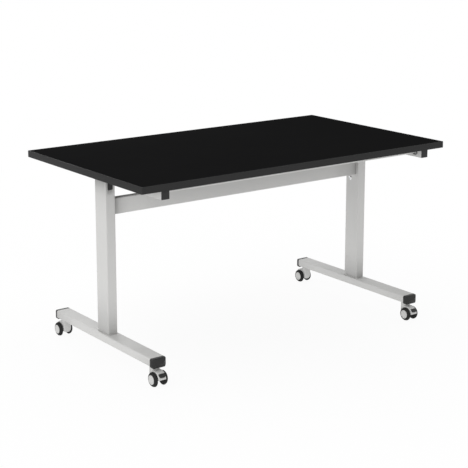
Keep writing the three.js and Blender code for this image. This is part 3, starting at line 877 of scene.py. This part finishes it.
@dataclass
class UnderFrame:
    """Beam between the columns, the release bar, the rails' end caps and the return springs."""

    leg_x: float = 0.604
    beam: Point = (0.030, 0.060, 0.004)
    beam_y: float = -0.008
    beam_bottom: float = 0.547
    beam_half: float = 0.584
    wall: float = 0.002
    bar_radius: float = 0.005
    bar_half: float = 0.612
    bar_place: tuple[float, float] = (-0.350, 0.692)
    rail: Point = (0.031, 0.030, 0.002)
    rail_half: float = 0.391
    rail_top: float = 0.705
    cap_thickness: float = 0.004
    spring: tuple[float, float, float, float] = (-0.2477, -0.2013, 0.0052, 0.0008)
    spring_turns: int = 7
    spring_seat: float = -0.249
    spring_keep: float = 0.745

    def beam_sheet(self) -> Patch:
        """Beam tube as an open sheet: its rounded outline carried along X."""
        depth, height, radius = self.beam
        stations = np.linspace(-self.beam_half, self.beam_half, 7)
        middle = (0, self.beam_y, self.beam_bottom + height / 2)
        return grid(carried(rounded_rect(depth, height, radius), stations, Along.X, middle))

    def release_bar(self) -> Patch:
        """Turned bar with rounded ends."""
        t = np.linspace(0, np.pi / 2, 5)
        soften = 0.0012
        radius = self.bar_radius - soften * (1 - np.sin(t))
        end = self.bar_half - soften * (1 - np.cos(t))
        right = np.stack([radius, end], -1)[::-1]
        profile = np.concatenate([[(0, -self.bar_half)], right[::-1] * (1, -1), right, [(0, self.bar_half)]])
        return turned(profile, Along.X, (0, *self.bar_place), 32)

    def rail_cap(self, side: int, end: int) -> Patch:
        """End cap of a rail: a softened plate with a plug inside the channel.

        Args:
            side: -1 on the left leg and +1 on the right one.
            end: +1 at the rear and -1 at the front.

        Returns:
            The closed cap.
        """
        width, height, corner = self.rail
        outer = self.rail_half + self.cap_thickness
        plate_span = (self.rail_half, outer)
        face = soft_block(width, height, corner, plate_span, 0.0012, Along.Y, (0, 0, self.rail_top - height / 2))
        plug_height = height - 0.0062
        plug = soft_block(
            width - 0.0046, plug_height, 0.001, (self.rail_half - 0.012, self.rail_half + 0.001), 4e-4,
            Along.Y, (0, 0, self.rail_top - 0.0032 - plug_height / 2),
        )
        return face.with_others(plug).moved((side * self.leg_x, 0, 0), half_turn=end < 0)

    def coil(self, side: int) -> Patch:
        """Spring wire: a circle carried along the helix (R cos a, pitch * a, R sin a).

        Args:
            side: -1 on the left leg and +1 on the right one.

        Returns:
            The closed wire.
        """
        start, end, radius, wire = self.spring
        t = np.linspace(0, 1, 28 * self.spring_turns + 1)
        angle = 2 * np.pi * self.spring_turns * t
        out = np.stack([np.cos(angle), np.zeros_like(t), np.sin(angle)], -1)
        rise = (end - start) / (2 * np.pi * self.spring_turns)
        tangent = np.stack([-radius * np.sin(angle), np.full_like(t, rise), radius * np.cos(angle)], -1)
        tangent /= np.linalg.norm(tangent, axis=1, keepdims=True)
        across = np.cross(tangent, out)
        path = radius * out + np.stack([np.zeros_like(t), start + (end - start) * t, np.zeros_like(t)], -1)
        turn = np.arange(10) * 2 * np.pi / 10
        ring = np.cos(turn)[None, :, None] * out[:, None] + np.sin(turn)[None, :, None] * across[:, None]
        return grid(path[:, None] + wire * ring + np.array((side * self.leg_x, 0, self.bar_place[1])), caps=True)

    def build(self, shop: Workshop) -> None:
        """Make the beam, bar, caps and springs."""
        silver = "silver_powder_coat"
        shop.piece("spine_beam", self.beam_sheet(), "frame", silver, ["cross_beam"], self.wall)
        shop.piece("pull_bar", self.release_bar(), "release", silver, ["release_bar"])
        for side, name in ((-1, "left"), (1, "right")):
            for end, place in ((-1, "front"), (1, "rear")):
                node = f"{name}_rail_{place}_cap"
                shop.piece(f"{name}_rail_{place}_stop", self.rail_cap(side, end), "top", "black_plastic", [node])
            coil = shop.piece(f"{name}_coil", self.coil(side), "top", "zinc_steel", [f"{name}_return_spring"])
            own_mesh(coil)


@dataclass
class Castor:
    """Twin-wheel castor: hood with its neck and web, two wheels and, in front, a brake pedal.

    It is drawn with its stem on the local Z axis and its wheels trailing towards -Y.
    """

    name: str
    x: float
    y: float
    braked: bool
    trail: float = 0.024
    axle: float = 0.0265
    hood_radius: float = 0.0305
    half_width: float = 0.0152
    hood_soften: float = 0.0025
    top: float = 0.057
    bottom: float = 0.020
    skirt: tuple[float, float] = (0.0185, 0.008)
    heel: tuple[float, float, float] = (0.0155, 0.0145, 0.022)
    neck: Point = (-0.013, 0.009, 0.0714)
    neck_half: float = 0.0144
    lips: tuple[float, float] = (-17.0, 174.0)
    wheel: tuple[float, float, float, float] = (0.0265, 0.0158, 0.0290, 0.0170)
    web: float = 0.003
    wheel_bore: float = 0.0043
    pedal_arc: tuple[float, float] = (134.0, 160.0)
    pedal_reach: tuple[float, float] = (0.0309, 0.0353)
    pedal_half: float = 0.0128
    pedal_round: float = 0.008
    pedal_press: float = 11.0
    pedal_arm_arc: tuple[float, float] = (137.0, 148.5)
    pedal_arm: float = 0.003
    pedal_eye: float = 0.0065

    @property
    def hub_point(self) -> tuple[float, float]:
        """Axle's place in the side view."""
        return (-self.trail, self.axle)

    def hood_outline(self) -> Array:
        """Side view: over the front in a circle, up the neck, down the back and under the axle."""
        back_lip, front_lip = self.lips
        front, back, neck_top = self.neck
        over = arc(self.hub_point, self.hood_radius, 90, front_lip, 20)
        lip = arc(self.hub_point, self.hood_radius, back_lip, back_lip, 0)[0]
        lowest = (-self.trail, self.bottom)
        fore = curve(over[-1], (-self.trail - 0.014, self.bottom + 0.003), lowest, 8)[1:]
        aft = curve(lowest, (-self.trail + 0.016, self.bottom - 0.003), lip, 8)[1:]
        rear = curve(lip, (back, lip[1] + 0.009), (back, self.top - 0.016), 8)[1:]
        corner = 0.0025
        tall = np.concatenate([
            curve((back, neck_top - corner), (back, neck_top), (back - corner, neck_top), 4),
            curve((front + corner, neck_top), (front, neck_top), (front, neck_top - corner), 4),
            curve((front, self.top + 0.004), (front, self.top), (front - 0.004, self.top), 5),
        ])
        return np.concatenate([over, fore, aft, rear, tall])

    def sector(self, low: float, high: float, inner: float, outer: float, half: float) -> Patch:
        """Plate round the axle between two angles and two radii, centred across the castor."""
        rim = arc(self.hub_point, outer, low, high, 8)
        root = arc(self.hub_point, inner, high, low, 4)
        return plate(np.concatenate([rim, root]), -half, half, Along.X)

    def hood(self) -> Patch:
        """Hood between the wheels: a soft plate, narrower low down in a quarter circle and eased to the neck.

        Towards the neck's side the quarter circle becomes half an ellipse as wide as the hood.

        Returns:
            The closed hood, with a slot for the pedal's arm where it has one.
        """
        lattice = soft_plate(self.hood_outline(), self.half_width, self.hood_soften)
        low, radius = self.skirt
        under = np.clip(low + radius - lattice[..., 2], 0, radius)
        narrow = (radius - np.sqrt(radius**2 - under**2)) / self.half_width
        base, tall, blend = self.heel
        sunk = np.clip((base + tall - lattice[..., 2]) / tall, 0, 1)
        share = np.clip(1 + lattice[..., 1] / blend, 0, 1)
        oval = (1 - np.sqrt(1 - sunk**2)) * share**2 * (3 - 2 * share)
        lattice[..., 0] *= 1 - np.maximum(narrow, oval)
        rise = np.clip((lattice[..., 2] - self.top) / 0.005, 0, 1)
        lattice[..., 0] *= 1 - rise**2 * (3 - 2 * rise) * (1 - self.neck_half / self.half_width)
        body = grid(lattice, caps=True)
        if not self.braked:
            return body
        start, end = self.pedal_arm_arc
        room = self.pedal_arm + 0.0003
        slot = self.sector(start - 2, end + self.pedal_press + 0.8, 0.003, self.hood_radius + 0.002, room)
        return worked(body, remove=[slot])

    def tyre(self, side: int) -> Patch:
        """Turned tread: flat where it rolls, with a long round shoulder outside and a web inside.

        Args:
            side: +1 for the wheel towards local +X and -1 for the other.

        Returns:
            The closed ring.
        """
        radius, inner, outer, bore = self.wheel
        near = inner + 0.0006
        edge = curve((radius - 0.0022, near), (radius, near), (radius, near + 0.0022), 6)
        crest, foot = (radius - 0.0010, outer - 0.0038), (bore + 0.0034, outer - 0.0013)
        shoulder = curve((radius, outer - 0.0095), crest, foot, 12)
        wall = np.array([(bore + 0.0012, outer - 0.0009), (bore + 0.0006, outer - 0.0014), (bore, outer - 0.0014)])
        seat, hole = inner + self.web, self.wheel_bore
        web = np.array([(bore, seat), (hole, seat), (hole, inner)])
        profile = np.concatenate([edge, shoulder, wall, web])
        return turned(profile * (1, side), Along.X, (0, *self.hub_point), 72, loop=True)

    def hub(self, side: int) -> Patch:
        """Turned hub: a rounded rim, a step down to a low dome and a small centre cap.

        Args:
            side: +1 for the wheel towards local +X and -1 for the other.

        Returns:
            The closed hub with a blind bore for the axle.
        """
        _, inner, outer, bore = self.wheel
        rim, blind = bore - 0.0001, 0.0260
        seat, hole = inner + self.web + 0.0001, self.wheel_bore
        back = np.array([(0, blind), (hole, blind), (hole, seat), (rim, seat), (rim, outer - 0.0012)])
        lip = curve((rim, outer - 0.0008), (rim, outer + 0.0004), (rim - 0.0014, outer + 0.0005), 6)
        step = curve((rim - 0.0030, outer + 0.0005), (rim - 0.0036, outer + 0.0004), (rim - 0.0040, outer - 0.0006), 5)
        r = np.linspace(rim - 0.0046, 0.0054, 7)
        dome = np.stack([r, outer - 0.0006 + 0.0008 * (1 - (r / rim) ** 2)], -1)
        cap = curve((0.0050, outer + 0.0002), (0.0047, outer + 0.0005), (0.0040, outer + 0.0005), 4)
        profile = np.concatenate([back, lip, step, dome, cap, [(0.0, outer + 0.0005)]])
        return turned(profile * (1, side), Along.X, (0, *self.hub_point), 72)

    def pedal(self) -> Patch:
        """Pedal: a rounded section carried round the axle, narrower in a quarter circle at its lower end.

        Three grip ridges raise its outer face by 1 - cos, and an arm runs to an eye on the axle.

        Returns:
            The joined pedal.
        """
        low, high = self.pedal_arc
        inner, outer = self.pedal_reach
        middle, soften = (inner + outer) / 2, 0.0012
        turn = np.linspace(0, np.pi / 2, 5)
        inset = soften * (1 - np.sin(turn))
        ease = np.degrees(soften * (1 - np.cos(turn)) / middle)
        body_angles = np.linspace(low + 3, high - 3, 22)
        angles = np.concatenate([low + ease, body_angles, (high - ease)[::-1]])
        draws = np.concatenate([inset, np.zeros(len(body_angles)), inset[::-1]])
        past = np.clip(self.pedal_round - np.radians(high - angles) * middle, 0, self.pedal_round)
        narrow = draws + self.pedal_round - np.sqrt(self.pedal_round**2 - past**2)
        rings = np.stack([
            rounded_rect(2 * (self.pedal_half - n), outer - inner - 2 * d, max(0.0016 - d, 3e-4), steps=4)
            for n, d in zip(narrow, draws)
        ])
        share = np.clip((angles - low - 3) / (high - low - 6), 0, 1)
        ridge = 0.0004 * (1 - np.cos(6 * np.pi * share))
        radius = middle + rings[..., 1] + np.where(rings[..., 1] > 0, ridge[:, None], 0)
        a = np.radians(angles)[:, None]
        y = self.hub_point[0] + radius * np.cos(a)
        z = self.hub_point[1] + radius * np.sin(a)
        pad = grid(np.stack([rings[..., 0], y, z], -1), caps=True)
        arm = self.sector(*self.pedal_arm_arc, 0.0055, inner + 0.001, self.pedal_arm)
        half = self.pedal_arm
        eye = np.array([(0.0043, -half), (self.pedal_eye, -half), (self.pedal_eye, half), (0.0043, half)])
        ring = turned(eye, Along.X, (0, *self.hub_point), 40, loop=True)
        return worked(pad, add=[arm, ring])

    def build(self, shop: Workshop) -> None:
        """Make the castor's pieces and turn rear ones round to trail backwards."""
        n, spot, rear = self.name, (self.x, self.y, 0), self.y > 0
        body = f"{n}_castor"
        shop.piece(f"{n}_hood", self.hood().moved(spot, rear), body, "grey_plastic", [f"{n}_castor_hood"])
        for side in (-1, 1):
            outward = (-side if rear else side) * self.x > 0
            place = "outer" if outward else "inner"
            wheel = f"{n}_{place}_wheel"
            tread, hub = (part(side).moved(spot, rear) for part in (self.tyre, self.hub))
            shop.piece(f"{n}_{place}_tread", tread, wheel, "tread_rubber", [f"{n}_{place}_tyre"])
            shop.piece(f"{n}_{place}_wheel_disc", hub, wheel, "grey_plastic", [f"{n}_{place}_hub"])
        if self.braked:
            pedal = self.pedal().moved(spot, rear)
            shop.piece(f"{n}_pedal", pedal, f"{n}_brake", "black_plastic", [f"{n}_brake_pedal"])


# Studio


@dataclass(frozen=True)
class Lamp:
    """Soft area lamp that points at a target."""

    name: str
    place: Point
    target: Point
    size: float
    watts: float

    def build(self) -> None:
        """Add the lamp to the scene."""
        data = bpy.data.lights.new(self.name, "AREA")
        data.shape, data.size, data.energy = "SQUARE", self.size, self.watts
        lamp = bpy.data.objects.new(self.name, data)
        lamp.location = self.place
        lamp.rotation_euler = (Vector(self.target) - Vector(self.place)).to_track_quat("-Z", "Y").to_euler()
        lamp.visible_camera = False
        bpy.context.scene.collection.objects.link(lamp)


@dataclass
class Studio:
    """White floor and surroundings, soft lamps and the camera at the photograph's angle."""

    ambient: float = 0.82
    floor_half: float = 30.0
    floor_shade: float = 0.09
    floor_glow: float = 0.5
    floor_fade: float = 1.1
    eye: Point = (-2.866909, -3.819697, 1.633531)
    heading: float = 0.639323
    pitch: float = 0.201287
    roll: float = 0.000478
    lens: float = 97.0993
    shift: float = -0.15
    lamps: tuple[Lamp, ...] = (
        Lamp("key", (-5.0, -2.0, 1.25), (0, 0, 0.45), 2.2, 55.0),
        Lamp("fill", (-0.8, -5.0, 1.25), (0, 0, 0.45), 2.2, 17.0),
        Lamp("upper", (-1.9, 0.0, 2.5), (-0.6, 0, 0.1), 1.0, 7.0),
        Lamp("rear", (-0.2, 1.1, 1.0), (0, 0.3, 0.1), 0.6, 4.0),
    )

    def build(self) -> None:
        """Set up the light, floor and camera."""
        self.light_world()
        self.lay_floor()
        for lamp in self.lamps:
            lamp.build()
        self.set_camera()
        bpy.context.scene.view_settings.view_transform = "Standard"

    @staticmethod
    def seen(book: NodeBook) -> Term:
        """One for rays that show the surroundings themselves, and zero for light that falls on things."""
        path = book.node("LightPath")
        shown = ("Is Camera Ray", "Is Glossy Ray", "Is Transmission Ray")
        camera, glossy, through = (book.term(path, name) for name in shown)
        return camera | glossy | through

    def light_world(self) -> None:
        """White surroundings: full white where they are seen, the ambient level as light."""
        world = bpy.data.worlds.new("surroundings")
        bpy.context.scene.world = world
        book = NodeBook(world)
        seen = self.seen(book)
        glow = book.node("Background", Color=(1, 1, 1, 1), Strength=seen + (1 - seen) * self.ambient)
        book.node("OutputWorld", Surface=glow.outputs["Background"])

    def lay_floor(self) -> None:
        """Pale floor lit from below like a light table, with a soft shadow that fades outwards."""
        reach = np.array([-self.floor_half, self.floor_half])
        x, y = np.meshgrid(reach, reach)
        lattice = np.stack([x, y, np.full_like(x, -0.0005)], -1)
        mesh = mesh_from("floor", grid(lattice, ring=False), closed=False)
        material = bpy.data.materials.new("floor")
        book = NodeBook(material)
        place = book.node("TexCoord").outputs["Object"]
        reach = book.term(book.node("VectorMath", {"operation": "LENGTH"}, Vector=place), "Value")
        shade = self.floor_shade * 2.718 ** (reach * reach * (-1 / self.floor_fade**2))
        plain = book.node("BsdfDiffuse", Color=(0.82, 0.82, 0.82, 1))
        glow = book.node("Emission", Color=(1, 1, 1, 1), Strength=1.0)
        both = book.tree.nodes.new("ShaderNodeMixShader")
        seen = self.seen(book)
        amount = seen * (1 - shade) + (1 - seen) * self.floor_glow
        book.tree.links.new(amount.socket, both.inputs[0])
        book.tree.links.new(plain.outputs["BSDF"], both.inputs[1])
        book.tree.links.new(glow.outputs["Emission"], both.inputs[2])
        book.node("OutputMaterial", Surface=both.outputs["Shader"])
        mesh.materials.append(material)
        floor = bpy.data.objects.new("floor", mesh)
        bpy.context.scene.collection.objects.link(floor)

    def set_camera(self) -> None:
        """Camera: heading from +Y towards +X, pitch down and roll, all in radians."""
        data = bpy.data.cameras.new("camera")
        data.lens, data.sensor_width, data.sensor_fit = self.lens, 36.0, "HORIZONTAL"
        data.shift_y = self.shift
        data.clip_start, data.clip_end = 0.05, 200.0
        camera = bpy.data.objects.new("camera", data)
        turn = Matrix.Rotation(-self.heading, 4, "Z") @ Matrix.Rotation(np.pi / 2 - self.pitch, 4, "X")
        camera.matrix_world = Matrix.Translation(self.eye) @ turn @ Matrix.Rotation(self.roll, 4, "Z")
        bpy.context.scene.collection.objects.link(camera)
        bpy.context.scene.camera = camera


def main() -> None:
    """Build the table's pieces in order, then the studio."""
    logging.basicConfig(level=logging.INFO, format="%(message)s")
    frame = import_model()
    shop = Workshop(frame)
    shop.prepare(FINISHES)
    Board().build(shop)
    UnderFrame().build(shop)
    for name, side in (("left", -1), ("right", 1)):
        Leg(name, side).build(shop)
        for place, y in (("front", -0.310), ("rear", 0.310)):
            Castor(f"{place}_{name}", side * 0.604, y, braked=y < 0).build(shop)
    Studio().build()


if __name__ == "__main__":
    main()
